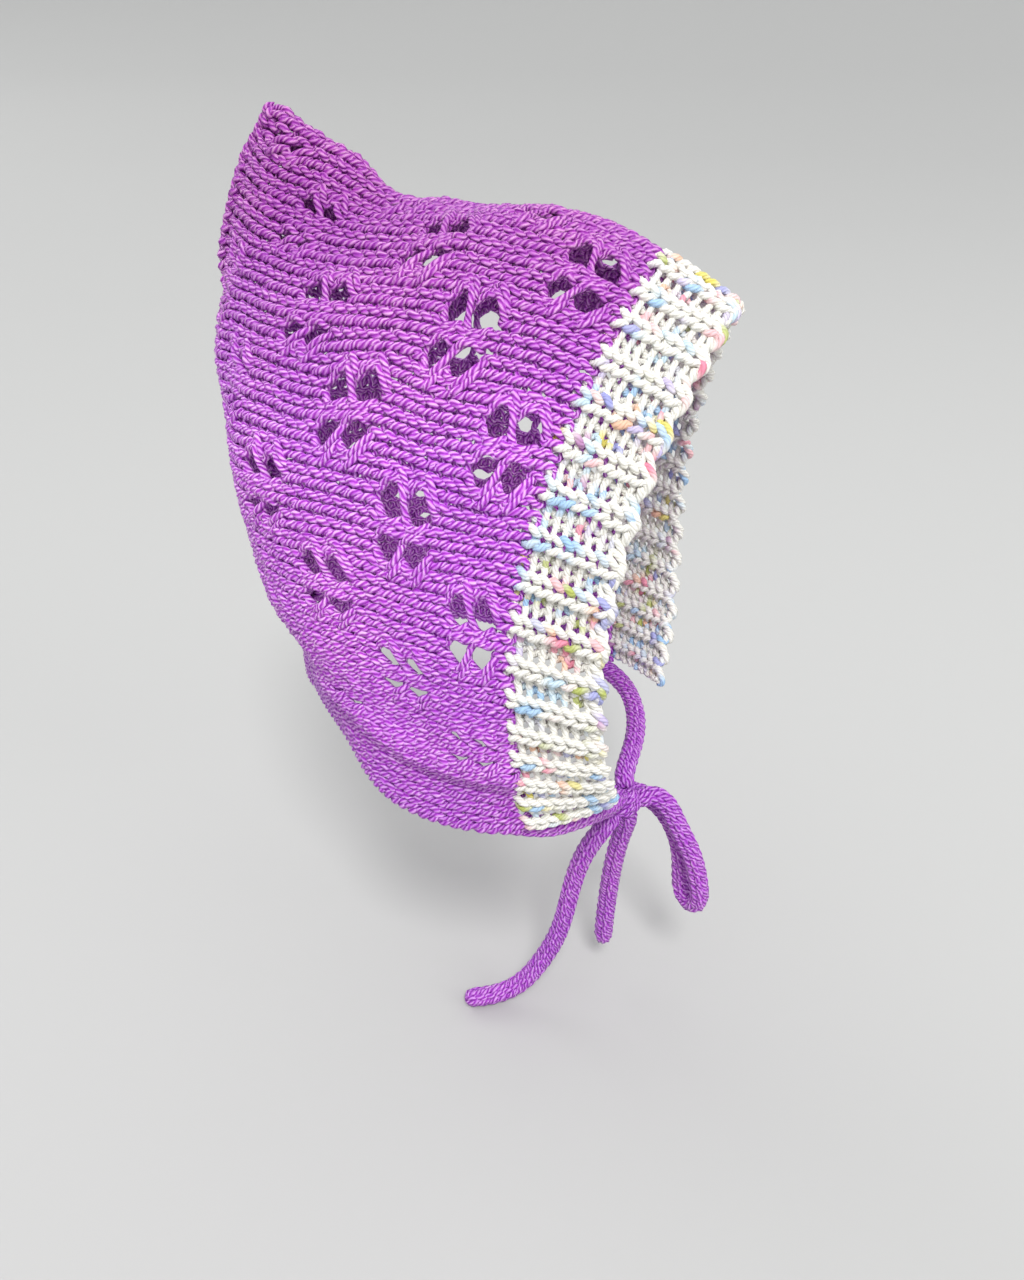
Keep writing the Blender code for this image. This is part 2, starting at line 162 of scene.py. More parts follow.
# Lace
REPEAT = 8  # stitches from one motif to the next
BANDS = (  # first row, half-repeat shift, size of the eyelets against the full size
    dict(row=2, shifted=True, size=1.00),
    dict(row=8, shifted=False, size=1.00),
    dict(row=14, shifted=True, size=0.92),
    dict(row=20, shifted=False, size=0.66),
    dict(row=26, shifted=True, size=0.42),
    dict(row=32, shifted=False, size=0.30),
)
EYELET = (0.74, 0.66)  # half width in stitches and half height in rows, at full size
EYELET_ROOM = (0.15, 0.25)  # added to both where the stitches round it are moved aside,
EYELET_REACH, EYELET_FADE = 4, (1.35, 3)  # which fades and ends this many times as far out
MORE_WORKED = 0.25  # its loops are worked this much more fully than its size
LEGS_APART, LEGS_FROM = 0.5, 0.30  # how far a yarn-over's legs stand apart, and where they do
PULLED = (0.98, 0.12, 0.95)  # a decrease's pull sideways, up and out,
PULLED_FROM = (-0.75, 0.9)  # between these heights of its loop
LOW_SIDE = 0.82  # size of the eyelet further from the top fold against the other of its pair
EDGE_STITCHES = 1.6  # no eyelet lies closer to the neck edge than this
NECK_CLOSES = 0.45  # how much the eyelets narrow towards the neck,
NECK_CLOSES_FROM = (20, 27)  # and the stitches between which they do

# The seam's strands, in millimetres: pitch, half width, distance out of the surface, half thickness, and
# the unevenness of their turn
OVERCAST = dict(pitch=3.4, wide=2.4, out=-1.5, thick=0.9, uneven=0.35)
TWIST = dict(pitch=6.4, wide=0.95, out=0.1, thick=0.55, uneven=0.25)
EDGE = dict(pitch=3.4, out=-2.5, thick=0.8, uneven=0.35)
EDGE_APART = (0.7, 3.6)  # the edge strands' distance from the seam at the tip, and what is added below it
EDGE_WIDE = (0.3, 0.95)  # the same for their half width
EDGE_GROWS = (6, 24)  # millimetres below the tip over which they do
SEAM_STITCH = 4.2  # height of a stitch along the seam
SEAM_FROM, SEAM_POINTS = 0.5, 900
SEAM_EVERY = 60  # points over which a strand's turn changes

# Rows and ribs of the brim
BRIM_FIRST, BRIM_STEP = 0.95, 0.92  # rows from the hood to the first row's middle, and to the next row's
KNIT_WIDE, PURL_WIDE = 1.08, 1.02
SINKER, KNIT_HEAD, PURL_HEAD = 0.54, 0.82, 0.48  # reach of the loops between and of the stitches
RIB_RISE = 0.80  # millimetres by which knit wales stand proud and purl wales sink,
KNIT_OUT, PURL_OUT = 0.15, -0.10  # with these added
PASSES = (0.36, 0.5)  # stitches from a wale's middle between which the yarn passes through the fabric
TUCKED, TUCKED_FROM = 1.5, (0.1, 0.9)  # how far the first row's heads go under the hood, and their part
BRIM_SWAY = 0.5  # share of the hood's sway
CAST_ON_ROW = 7.72
CAST_ON_STEPS = 12  # points along each stitch
CAST_ON_BUMP = (0.34, 0.55)  # rise over a knit rib, in rows and millimetres
CAST_ON_TWIST = (0.10, 0.26, 0.85)  # each strand's swing in stitches, rows and millimetres,
CAST_ON_TURN = 0.6  # the angle at which it begins
CAST_ON_UNEVEN = (0.06, 0.10)  # and its unevenness in rows and millimetres

# Neckband
NECK_WALES = 4
NECK_OVER = 0.8  # its stitches are this much longer together than the band is high
NECK_DIP = 1.4  # depth of the crease between it and the hood,
NECK_DIP_FROM, NECK_DIP_TO = (0, 0.9), 1.5  # the stitches over which it grows, and where it starts to end
CHAIN = 1.7  # rows to each turn of the edge's two strands
CHAIN_FROM, CHAIN_STEPS = -0.1, 10  # the row where they begin, and their points for each row
CHAIN_AT, CHAIN_WIDE, CHAIN_THICK = 0.05, 0.17, 0.85  # stitches past the last one, and their swing
CHAIN_UNEVEN = 0.3

# Ties
CORD = 6.6  # diameter of the I-cord
ICORD_AROUND = 4  # stitches round it
ICORD_ROUND = 3.3  # height of one round
ICORD_STEPS = 12  # points along each of its stitches
ICORD_LEAN, ICORD_TALL = 0.20, 0.88  # overlap of its loops in stitches, and their height in rounds
ICORD_DEPTH = 0.40  # and depth in millimetres
ICORD_END = 3.2  # length of its rounded ends,
ICORD_LEAST = 0.02  # the square of the share that is left of the radius at their tips,
ICORD_SHORT = 0.4  # and how far short of the line's ends the yarn stops
LINE_FINE = 40  # points of its spline for each point of the path
LINE_STEP = 0.8  # millimetres between the points of a cord's line
ROUTE_STEP = 4  # every so many of them make up its route
ASKEW = (0.3, 0.5, 0.8)  # a direction in which no cord begins
KNOT_AT = (-4.3, -38.0, -94.1)
INTO_KNOT = 3.4  # how far a tied end runs on into the knot
KNOT_TURNS, KNOT_POINTS = 1.75, 20
KNOT_FIRST = 0.4  # angle at which the turns begin
KNOT_RADIUS, KNOT_RISE = 3.1, 0.46
KNOT_CORD, KNOT_YARN = 3.2, 0.90  # radius of the cord in the knot, and of its yarn
PATHS = {
    "strap_right": (
        (-48.6, -13.4, -76.6), (-46.4, -20.0, -77.5), (-43.0, -25.2, -78.8), (-38.0, -29.5, -79.8),
        (-31.0, -33.6, -81.5), (-23.0, -35.8, -84.8), (-15.5, -37.0, -87.8), (-9.5, -37.7, -90.2)),
    "strap_left": (
        (48.6, -13.4, -76.6), (46.4, -20.0, -77.5), (43.0, -25.2, -78.8), (37.6, -29.8, -79.8),
        (29.6, -34.0, -81.6), (20.5, -36.4, -83.4), (10.5, -37.2, -85.2), (0.1, -37.3, -89.0)),
    "bow_loop": (
        (-1.4, -43.8, -94.1), (0.1, -46.6, -93.7), (0.5, -49.8, -94.9), (0.5, -52.9, -98.8),
        (0.0, -56.0, -104.4), (-0.4, -59.8, -111.4), (-0.5, -62.8, -120.0), (-0.4, -64.2, -127.0),
        (-0.1, -64.4, -130.9), (0.7, -63.4, -134.1), (2.8, -61.0, -135.4), (4.9, -58.6, -134.1),
        (5.8, -57.6, -130.9), (6.0, -57.0, -124.5), (6.2, -56.0, -117.4), (6.8, -53.4, -110.2),
        (7.6, -49.4, -104.4), (7.8, -44.6, -100.6), (6.2, -40.0, -98.0), (2.2, -37.7, -96.2)),
    "tail_long": (
        (-9.0, -35.7, -98.3), (-12.0, -32.0, -104.2), (-12.6, -27.4, -114.7), (-13.4, -24.1, -129.5),
        (-14.4, -21.0, -145.2), (-16.6, -15.1, -159.3), (-20.2, -8.2, -168.2), (-24.1, -0.7, -171.2),
        (-27.9, 7.5, -171.6)),
    "tail_short": (
        (-3.3, -39.6, -100.5), (-1.9, -38.9, -106.0), (-0.4, -37.2, -113.0), (0.6, -35.4, -123.8),
        (1.4, -33.8, -140.4), (2.4, -32.9, -157.5), (2.8, -32.8, -161.1)),
}
TIED = {  # the ends that run into the knot, and where the yarn begins on its map
    "strap_right": (("last",), 93000.0),
    "strap_left": (("last",), 90000.0),
    "bow_loop": (("first", "last"), 84000.0),
    "tail_long": (("first",), 87000.0),
    "tail_short": (("first",), 90000.0),
}

rng = np.random.default_rng(7)


def unit(vectors):
    return vectors / np.linalg.norm(vectors, axis=-1, keepdims=True)


def along(points):
    """How far along the line each of its points lies."""
    return np.concatenate([[0], np.cumsum(np.linalg.norm(np.diff(points, axis=0), axis=1))])


def read_along(wanted, places, points):
    """The points at the wanted places along a line."""
    return np.stack([np.interp(wanted, places, points[:, k]) for k in range(3)], axis=1)


def eased(t):
    return t * t * (3 - 2 * t)


def blend_up(x, low, high):
    """0 below low, 1 above high, smooth between."""
    return eased(np.clip((x - low) / (high - low), 0, 1))


def start_of(kind, k=0):
    first, step = STARTS[kind]
    return first + step * k


def placed(name, data):
    """A new object in the scene."""
    obj = bpy.data.objects.new(name, data)
    bpy.context.scene.collection.objects.link(obj)
    return obj


def spline(knots, values, at):
    """Natural cubic spline through values at knots, one column for each dimension, at an array of places."""
    n, step = len(knots), np.diff(knots)
    left, right = np.eye(n), np.zeros_like(values)
    for i in range(1, n - 1):
        left[i, i - 1 : i + 2] = step[i - 1], 2 * (step[i - 1] + step[i]), step[i]
        right[i] = 6 * ((values[i + 1] - values[i]) / step[i] - (values[i] - values[i - 1]) / step[i - 1])
    bend = np.linalg.solve(left, right)
    i = np.clip(np.searchsorted(knots, at, side="right") - 1, 0, n - 2)
    h = step[i][:, None]
    b = (at - knots[i])[:, None]
    a = h - b
    return (
        (bend[i] * a**3 + bend[i + 1] * b**3) / (6 * h)
        + (values[i] / h - bend[i] * h / 6) * a
        + (values[i + 1] / h - bend[i + 1] * h / 6) * b
    )


# The fabric's middle surface


def half_row(row):
    """The line of one row, from the top fold down to the edge of the neckband."""
    t = np.linspace(0, 1, ROW_POINTS) ** CROWDED * math.pi / 2
    upper = np.stack([
        row["side_x"] * np.sin(t) ** row["crown"],
        row["side_y"] + (row["top_y"] - row["side_y"]) * np.cos(t) ** row["back"],
        row["side_z"] + (row["top_z"] - row["side_z"]) * np.cos(t),
    ], axis=1)
    s = t[1:]
    lower = np.stack([
        row["side_x"] + (row["low_x"] - row["side_x"]) * np.sin(s) ** 2,
        row["side_y"] + (row["low_y"] - row["side_y"]) * np.sin(s) ** 2,
        row["side_z"] + (row["low_z"] - row["side_z"]) * np.sin(s),
    ], axis=1)
    return np.concatenate([upper, lower])


def shape_back(points, places, v):
    """Works the back's rounding, the blunt tip and the least width at the seam into a row of the surface."""
    # the back is rounded, and turns in to the seam
    turned_in = math.sin(math.pi * min(max((v - BULGE_FROM) / BULGE_OVER, 0.0), 1.0))
    points[:, 0] += BULGE * turned_in * np.minimum(1, places / BULGE_BELOW)
    # and stands out most below the peak, whose tip is blunt
    behind = unit(points * (0, 1, 1) - INSIDE)
    out = STANDS_OUT * blend_up(places, *STANDS_OUT_FROM) - DRAWS_IN * blend_up(places, *DRAWS_IN_FROM)
    points += behind * (float(blend_up(v, *BEHIND)) * out)[:, None]
    from_tip = points * (0, 1, 1) - TIP
    far = np.linalg.norm(from_tip, axis=1)
    within = (far > TIP_RADIUS) & (from_tip[:, 2] > TIP_STEEP * far)
    shorter = (TIP_RADIUS + TIP_LEFT * (far - TIP_RADIUS)) / far
    points -= from_tip * (np.where(within, 1 - shorter, 0))[:, None]
    least = SEAM_HALF * np.minimum(1, places / SEAM_SPREAD)
    points[:, 0] = np.maximum(points[:, 0], least)


class Fabric:
    """The middle surface of the wearer's left half on a fine grid.

    Its rows run from the face edge to the back seam (v), its columns from the top fold down (millimetres).
    """

    def __init__(self):
        down, across = GRID
        self.v = np.linspace(FIRST_V, 1, down)
        table = spline(STATIONS[:, 0], STATIONS[:, 1:], self.v)
        self.length = np.zeros(down)
        self.points = np.zeros((down, across, 3))
        for i, values in enumerate(table):
            curve = half_row(dict(zip(COLUMNS[1:], values)))
            length = along(curve)
            self.length[i] = length[-1]
            places = np.linspace(0, length[-1], across)
            self.points[i] = read_along(places, length, curve)
            if self.v[i] > 0:
                shape_back(self.points[i], places, self.v[i])
        self.normals = self.normals_out()

    def normals_out(self):
        down, across = self.points.shape[:2]
        # the normals are read from a copy mirrored over the fold, so that they run smoothly across it
        turned = self.points[:, :0:-1] * (-1, 1, 1)
        both = np.concatenate([turned, self.points], axis=1)
        normals = unit(np.cross(np.gradient(both, axis=1), np.gradient(both, axis=0)))[:, across - 1 :]
        if normals[down // 2, across // 2, 0] < 0:
            normals = -normals
        # the last rows turn in to the seam, and keep the normals from before that
        settled = int(down * NORMALS_SETTLE)
        normals[settled:] = normals[settled]
        return normals

    def long(self, v):
        """Length of the half row at v, with the neckband."""
        return np.interp(v, self.v, self.length)

    def at(self, v, across):
        """Points and normals at v, across millimetres from the top fold; its sign gives the side."""
        v = np.clip(v, self.v[0], self.v[-1])
        i = (v - self.v[0]) / (self.v[-1] - self.v[0]) * (len(self.v) - 1)
        far = np.abs(across) / self.long(v)
        over = np.maximum(far - 1, 0) * self.long(v)
        j = np.clip(far, 0, 1) * (self.points.shape[1] - 1)
        i0 = np.clip(i.astype(int), 0, len(self.v) - 2)
        j0 = np.clip(j.astype(int), 0, self.points.shape[1] - 2)
        fi, fj = (i - i0)[:, None], (j - j0)[:, None]

        def read(grid):
            top = grid[i0, j0] * (1 - fj) + grid[i0, j0 + 1] * fj
            low = grid[i0 + 1, j0] * (1 - fj) + grid[i0 + 1, j0 + 1] * fj
            return top * (1 - fi) + low * fi

        points, normals = read(self.points), unit(read(self.normals))
        points[:, 2] -= over
        side = np.where(across < 0, -1.0, 1.0)
        points[:, 0] *= side
        normals[:, 0] *= side
        return points, normals


fabric = Fabric()


# Yarn


def wobble(n, strength, every):
    """Smooth random numbers, one for each of n places, that change over about `every` places."""
    knots = rng.normal(0, strength, max(4, int(n / every) + 4))
    places = np.linspace(0, len(knots) - 1.001, n)
    k = places.astype(int)
    t = eased(places - k)
    return knots[k] * (1 - t) + knots[np.minimum(k + 1, len(knots) - 1)] * t


class Yarns:
    """Lengths of yarn joined into one mesh, with a map that runs along and round the yarn."""

    def __init__(self):
        self.points, self.quads, self.caps, self.maps, self.cap_maps = [], [], [], [], []
        self.count = 0

    def add(self, points, normals, radius, start):
        """points in millimetres, radius one number or one for each point, start the first one's place."""
        n, m = len(points), SIDES
        along_yarn = unit(np.gradient(points, axis=0))
        across = unit(np.cross(along_yarn, normals))
        up = np.cross(across, along_yarn)
        turn = TURN * np.arange(m) / m
        r = np.broadcast_to(radius, n)[:, None, None]
        round_it = np.sin(turn)[None, :, None] * across[:, None] + np.cos(turn)[None, :, None] * up[:, None]
        ring = points[:, None] + r * round_it
        i, j = np.meshgrid(np.arange(n - 1), np.arange(m), indexing="ij")
        k = (j + 1) % m
        quads = np.stack([i * m + j, i * m + k, (i + 1) * m + k, (i + 1) * m + j], axis=-1).reshape(-1, 4)
        u = start + along(points)
        v0, v1 = j / m, (j + 1) / m
        corners = ((u[i], v0), (u[i], v1), (u[i + 1], v1), (u[i + 1], v0))
        maps = np.stack([np.stack(corner, -1) for corner in corners], axis=2).reshape(-1, 4, 2)
        self.points.append(ring.reshape(-1, 3))
        self.quads.append(quads + self.count)
        self.maps.append(maps)
        ends = np.stack([np.arange(m)[::-1], (n - 1) * m + np.arange(m)])
        self.caps.append(ends + self.count)
        for place in (u[0], u[-1]):
            self.cap_maps.append(np.stack([np.full(m, place), np.arange(m) / m], axis=1))
        self.count += n * m

    def made(self, name, material):
        """The mesh object of all the lengths."""
        points = (np.concatenate(self.points) - SEAT) * MM
        quads = np.concatenate(self.quads)
        caps = np.concatenate(self.caps)
        mesh = bpy.data.meshes.new(name)
        mesh.vertices.add(len(points))
        mesh.vertices.foreach_set("co", points.astype(np.float32).ravel())
        loops = np.concatenate([quads.ravel(), caps.ravel()])
        mesh.loops.add(len(loops))
        mesh.loops.foreach_set("vertex_index", loops.astype(np.int32))
        total = np.concatenate([np.full(len(quads), 4), np.full(len(caps), SIDES)])
        mesh.polygons.add(len(total))
        first = np.concatenate([[0], np.cumsum(total)[:-1]])
        mesh.polygons.foreach_set("loop_start", first.astype(np.int32))
        mesh.polygons.foreach_set("loop_total", total.astype(np.int32))
        mesh.polygons.foreach_set("use_smooth", np.ones(len(total), bool))
        mesh.update(calc_edges=True)
        layer = mesh.uv_layers.new(name="yarn")
        uv = np.concatenate([np.concatenate(self.maps).reshape(-1, 2), np.concatenate(self.cap_maps)])
        layer.uv.foreach_set("vector", uv.astype(np.float32).ravel())
        mesh.validate()
        mesh.materials.append(material)
        return placed(name, mesh)


def patches(strength, every_c, every_r):
    """A function of stitch and row that gives smooth random numbers."""
    first_c, first_r, wide, tall = -40, -12, 80, 60
    knots = rng.normal(0, strength, (int(tall / every_r) + 3, int(wide / every_c) + 3))

    def read(c, r):
        x, y = (np.asarray(c) - first_c) / every_c, (np.asarray(r) - first_r) / every_r
        x, y = np.clip(x, 0, knots.shape[1] - 1.001), np.clip(y, 0, knots.shape[0] - 1.001)
        i, j = x.astype(int), y.astype(int)
        a, b = eased(x - i), eased(y - j)
        this_row = knots[j, i] * (1 - a) + knots[j, i + 1] * a
        next_row = knots[j + 1, i] * (1 - a) + knots[j + 1, i + 1] * a
        return this_row * (1 - b) + next_row * b

    return read


sway = patches(0.15, 2.5, 5.0)  # the wales wander sideways, in stitches
lift = patches(0.15, 5.0, 3.0)  # and the rows up and down, in rows
pucker = patches(0.85, 4.0, 5.0)  # and the cloth in and out, in millimetres


def row_of_loops(first, last, loop):
    """A row of plain stitches: wale, place within it, phase, and shifts along, up and out of the cloth."""
    height, overlap, depth = loop
    count = last - first + 1
    s = np.linspace(-0.5, count - 0.5, count * STEPS + 1)
    wale = np.clip(np.round(s), 0, count - 1)
    local = s - wale
    phase = TURN * local
    dc = local + overlap * np.sin(2 * phase)
    return (wale + first).astype(int), local, phase, dc, height * np.cos(phase), -depth * np.cos(2 * phase)


def uneven(pick, stitches, strengths):
    """For each strength, random numbers of the stitches, at each point the one that pick gives."""
    drawn = rng.normal(0, 1, (len(strengths), stitches))[:, pick]
    return [strength * numbers for strength, numbers in zip(strengths, drawn)]


def plump(n):
    """The radius over n points against the usual: fuller in the legs, thinner where it passes behind."""
    phase = TURN * (np.arange(n) / STEPS - 0.5)
    return (THIN + PLUMPER * np.abs(np.sin(phase))) * (1 + wobble(n, PLUMP_WAVER, every=9))


# Hood


def eyelets():
    """(stitch, row, size, side) of every eyelet; side is -1 left of its motif's middle and 1 right of it."""
    found = []
    for band in BANDS:
        shift = REPEAT // 2 if band["shifted"] else 0
        for k in range(-4, 5):
            middle = k * REPEAT + shift
            for side in (-1, 1):
                c = middle + side
                if abs(c) > HOOD_STITCHES / 2 - EDGE_STITCHES:
                    continue
                wide = 1.0 if side * middle < 0 else LOW_SIDE
                # the knit gathers towards the neck, and its eyelets close
                wide *= 1 - NECK_CLOSES * float(blend_up(abs(c), *NECK_CLOSES_FROM))
                for r in (band["row"], band["row"] + 2):
                    found.append((c, r, band["size"] * wide, side))
    return found


EYELETS = eyelets()


def hood_row(r):
    """Stitch and row coordinates and height of the hood's row r, with its lace worked in."""
    half = HOOD_STITCHES // 2
    wale, local, phase, dc, dr, dz = row_of_loops(-half, half, HOOD_LOOP)
    n = len(local)
    width, lean, rise, legs = uneven(wale + half, HOOD_STITCHES, HOOD_UNEVEN)
    head = (np.cos(phase) + 1) / 2
    dc = dc * (1 + width * np.abs(np.cos(phase / 2))) + lean * head
    dr = dr + rise * head + wobble(n, HOOD_WAVER, every=40)
    dz = dz + wobble(n, HOOD_WAVER_OUT, every=8) + legs * np.abs(np.sin(phase))
    for c, row, size, side in EYELETS:
        here = wale == c
        much = min(1.0, size + MORE_WORKED)
        if row == r:
            # a yarn over: its legs stand apart, because no stitch below holds them together
            apart = 1 - (1 - np.clip(np.abs(local) / LEGS_FROM, 0, 1)) ** 2
            apart = np.sign(local) * LEGS_APART * apart
            dc = np.where(here, dc + (apart - dc) * much, dc)
        if row - 1 == r:
            # the stitch below is pulled over its neighbour, into the decrease
            pulled = blend_up(np.cos(phase), *PULLED_FROM)
            dc = np.where(here, dc + side * PULLED[0] * pulled * much, dc)
            dr = np.where(here, dr + PULLED[1] * pulled, dr)
            dz = np.where(here, dz + PULLED[2] * pulled * much, dz)
    return wale + dc, r + dr, dz


def opened(c, r):
    """Moves stitch and row coordinates out of each eyelet."""
    push_c, push_r = np.zeros_like(c), np.zeros_like(r)
    for ec, er, size, _ in EYELETS:
        wide, tall = EYELET[0] * size + EYELET_ROOM[0], EYELET[1] * size + EYELET_ROOM[1]
        near = (np.abs(c - ec) < EYELET_REACH * wide) & (np.abs(r - er) < EYELET_REACH * tall)
        if not near.any():
            continue
        x, y = (c[near] - ec) / wide, (r[near] - er) / tall
        rho = np.sqrt(x * x + y * y) + 1e-6
        pushed = (1 + rho**3) ** (1 / 3) - rho
        pushed *= np.clip(EYELET_FADE[0] - rho / EYELET_FADE[1], 0, 1)
        push_c[near] += x / rho * pushed * wide
        push_r[near] += y / rho * pushed * tall
    return c + push_c, r + push_r


def spread(c, v):
    """How far along its row stitch c lies at v, against the length down to the hood's neck edge."""
    table = spline(SPREAD[:, 0], SPREAD[:, 1:], np.abs(c))
    t = np.clip(v / SETTLES_AT, 0, 1)
    return np.sign(c) * (table[:, 0] + (table[:, 1] - table[:, 0]) * t)


def drawn_in(past, r):
    """Depth of the nape's crease, past stitches beyond the hood's neck edge; none towards the front."""
    depth = CREASE * blend_up(past, -CREASE_ABOVE, 0) * blend_up(-past, -CREASE_BELOW, 0)
    return depth * blend_up(r, *CREASE_ROWS)


def on_hood(c, r, dz):
    """Points and normals of the hood at stitch c and row r, dz millimetres out of its middle surface."""
    past = np.abs(c) - HOOD_STITCHES / 2
    edge = blend_up(past, *EDGE_RISE_FROM) - EDGE_DIP * blend_up(past, *EDGE_DIP_FROM)
    dz = dz - drawn_in(past, r)
    calm = blend_up(r, *CALM_ROWS) * (1 - EDGE_CALM * edge)
    c = c + sway(c, r) * calm
    v = (r + lift(c, r) * calm) / ROWS
    dz = dz + pucker(c, r) * calm + EDGE_RISE * edge
    points, normals = fabric.at(v, spread(c, v) * (fabric.long(v) - NECK_HEIGHT - GAP / 2))
    return points + normals * dz[:, None], normals


def hood_piece(name, rows, material):
    """The hood's rows from one to another, and the seam with the last of them."""
    yarns = Yarns()
    for r in rows:
        c, y, dz = hood_row(r)
        c, y = opened(c, y)
        y = np.minimum(y, LAST_ROW)
        points, normals = on_hood(c, y, dz)
        yarns.add(points, normals, YARN * plump(len(c)), start_of("row", r))
    if ROWS - 1 in rows:
        add_seam(yarns)
    return yarns.made(name, material)


def add_seam(yarns):
    """The seam down the back: overcast, the edge stitches turned in behind it, two strands over it."""
    deep = float(fabric.long(1.0)) - NECK_HEIGHT
    s = np.linspace(SEAM_FROM, deep, SEAM_POINTS)
    line, _ = fabric.at(np.ones_like(s), s)
    line[:, 0] = 0
    out = np.cross(unit(np.gradient(line, axis=0)), (1.0, 0.0, 0.0))
    middle = SEAM_POINTS // 2
    if out[middle] @ (line[middle] - INSIDE) < 0:
        out = -out
    side = np.array((1.0, 0.0, 0.0))
    deep_in = drawn_in((s - s[-1]) / SEAM_STITCH, np.full(len(s), float(ROWS)))

    def add_strand(turn, shape, across, start):
        """One strand that winds about a line at the height that shape gives."""
        outward = shape["out"] - deep_in + shape["thick"] * np.sin(turn)
        points = line + side * across[:, None] + out * outward[:, None]
        normals = side * np.cos(turn)[:, None] + out * np.sin(turn)[:, None]
        yarns.add(points, normals, YARN, start)

    turn = TURN * s / OVERCAST["pitch"] + wobble(len(s), OVERCAST["uneven"], SEAM_EVERY)
    add_strand(turn, OVERCAST, OVERCAST["wide"] * np.cos(turn), start_of("overcast"))
    grown = blend_up(s, *EDGE_GROWS)
    for edge in (-1, 1):
        turn = edge * TURN * s / EDGE["pitch"] + wobble(len(s), EDGE["uneven"], SEAM_EVERY)
        wide = EDGE_WIDE[0] + EDGE_WIDE[1] * grown
        across = edge * (EDGE_APART[0] + EDGE_APART[1] * grown) + wide * np.cos(turn)
        add_strand(turn, EDGE, across, start_of("seam_edge", edge))
    for strand in (0, 1):
        waver = wobble(len(s), TWIST["uneven"], SEAM_EVERY)
        turn = TURN * s / TWIST["pitch"] + math.pi * strand + waver
        add_strand(turn, TWIST, TWIST["wide"] * np.cos(turn), start_of("seam_strand", strand))


# Brim


def on_brim(c, r):
    share, back = spline(BRIM_SPREAD[:, 0], BRIM_SPREAD[:, 1:], np.abs(c)).T
    v = r / ROWS * (1 - back / BRIM_ROWS)
    return fabric.at(v, np.sign(c) * share * fabric.long(v))


def add_rib_row(yarns, index):
    """A row of 1x1 rib: knit wales stand proud and purl wales sink."""
    half = BRIM_STITCHES // 2
    r = -BRIM_FIRST - BRIM_STEP * index
    wale, local, phase, dc, _, dz = row_of_loops(-half, half, BRIM_LOOP)
    n = len(local)
    knit = np.where(wale % 2 == 1, 1.0, -1.0)
    # between a knit and a purl stitch the yarn passes through the fabric
    through = 1 - blend_up(np.abs(local), *PASSES)
    width, lean, rise, height = uneven(wale + half, BRIM_STITCHES, BRIM_UNEVEN)
    head = (np.cos(phase) + 1) / 2
    wide = np.where(knit > 0, KNIT_WIDE, PURL_WIDE)
    reach = np.where(np.cos(phase) < 0, SINKER, np.where(knit > 0, KNIT_HEAD, PURL_HEAD))
    dc = dc * wide * (1 + width) + lean * head
    dr = reach * np.cos(phase) * (1 + height) + rise * head + wobble(n, BRIM_WAVER, every=40)
    dz = knit * through * (dz + RIB_RISE) + np.where(knit > 0, KNIT_OUT, PURL_OUT)
    if index == 0:
        # the hood's first row is drawn through these heads, over them
        dz = dz - TUCKED * blend_up(np.cos(phase), *TUCKED_FROM) * (knit > 0)
    c = wale + dc + sway(wale + dc, r + dr) * BRIM_SWAY
    points, normals = on_brim(c, r + dr)
    yarns.add(points + normals * dz[:, None], normals, BRIM_YARN * plump(n), start_of("row", index))


def add_cast_on(yarns):
    """The face edge: two strands twisted together, out over the knit ribs and in over the purl ones."""
    s = np.linspace(-BRIM_STITCHES / 2, BRIM_STITCHES / 2, BRIM_STITCHES * CAST_ON_STEPS + 1)
    bump = -np.cos(math.pi * s)
    swing, rock, thick = CAST_ON_TWIST
    for strand in (0, 1):
        turn = TURN * s + math.pi * strand + CAST_ON_TURN
        edge = -CAST_ON_ROW - CAST_ON_BUMP[0] * bump + rock * np.sin(turn)
        edge = edge + wobble(len(s), CAST_ON_UNEVEN[0], CAST_ON_STEPS)
        points, normals = on_brim(s + swing * np.cos(turn), edge)
        out = CAST_ON_BUMP[1] * bump + thick * np.cos(turn)
        out = out + wobble(len(s), CAST_ON_UNEVEN[1], CAST_ON_STEPS)
        yarns.add(points + normals * out[:, None], normals, BRIM_YARN, start_of("cast_on", strand))


def brim_piece(name, material):
    yarns = Yarns()
    for index in range(BRIM_ROWS):
        add_rib_row(yarns, index)
    add_cast_on(yarns)
    return yarns.made(name, material)


# Neckband


def on_neckband(c, r, dz):
    """The band under the hood's neck edge, where the hood's rows go on; a crease runs along its top."""
    v = r / ROWS
    past = np.abs(c) - HOOD_STITCHES / 2
    down = past / NECK_WALES * (NECK_HEIGHT + NECK_OVER)
    across = fabric.long(v) - NECK_HEIGHT + GAP / 2 + down
    points, normals = fabric.at(v, across * np.sign(c))
    dip = blend_up(past, *NECK_DIP_FROM) - blend_up(past, NECK_DIP_TO, NECK_WALES)
    dz = dz - NECK_DIP * dip - drawn_in(past, r)
    return points + normals * dz[:, None], normals


